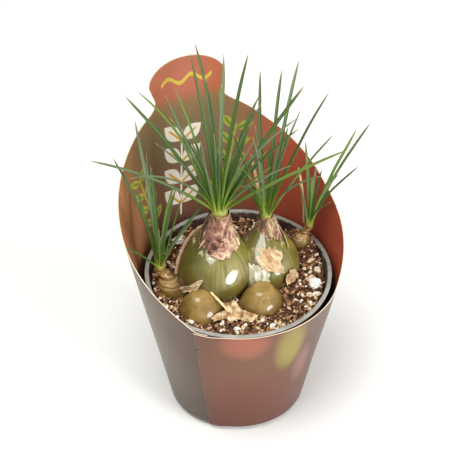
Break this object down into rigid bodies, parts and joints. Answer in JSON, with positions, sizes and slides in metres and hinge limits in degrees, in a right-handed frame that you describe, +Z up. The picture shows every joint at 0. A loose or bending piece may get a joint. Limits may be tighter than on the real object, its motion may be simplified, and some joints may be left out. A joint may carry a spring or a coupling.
{
  "type": "potted albuca",
  "caption": "Green bulbs with tufts of narrow leaves in a round nursery pot, in a copper card sleeve with a tall rounded label.",
  "frame": {"origin": "middle of the pot's flat underside", "axes": "+Z up, the label stands at the back on the +Y side and faces -Y"},
  "size_m": [0.1246, 0.1035, 0.1792],
  "materials": {
    "pot_plastic": "grey moulded plastic, satin",
    "printed_card": "glossy printed card, copper brown",
    "soil": "dark damp potting soil with bark crumbs",
    "bulb_skin": "smooth olive-green skin, waxy",
    "bulblet_skin": "golden olive skin, waxy",
    "leaf": "dark green, paler and yellower at the foot",
    "dry_leaf": "dry, straw-coloured",
    "neck_scales": "dry, ragged, pinkish brown",
    "papery_tunic": "papery, tan to cream",
    "silver_tunic": "papery, thin, silver-grey",
    "perlite": "chalky white"
  },
  "bodies": {
    "root": {"pot": "pot_plastic", "sleeve": "printed_card", "soil": "soil", "bulb_main": "bulb_skin", "bulb_offset": "bulb_skin", "bulblet_left": "bulblet_skin", "bulblet_front_left": "bulblet_skin", "bulblet_front_right": "bulblet_skin", "bulblet_right": "bulblet_skin", "leaves_main": "leaf", "leaves_offset": "leaf", "leaves_left": "leaf", "leaves_right": "leaf", "leaf_dry_offset": "dry_leaf", "leaf_dry_right": "dry_leaf", "straw": "dry_leaf", "neck_tunic_main": "neck_scales", "neck_tunic_offset": "neck_scales", "tunic_flake_cream": "papery_tunic", "tunic_flake_silver": "silver_tunic", "tunic_flake_tan": "papery_tunic", "tunic_curl": "papery_tunic", "tunic_edge_left": "papery_tunic", "tunic_edge_right": "papery_tunic", "tunic_star": "papery_tunic", "perlite_1": "perlite", "perlite_2": "perlite", "perlite_3": "perlite", "perlite_4": "perlite", "perlite_5": "perlite"}
  },
  "joints": []
}
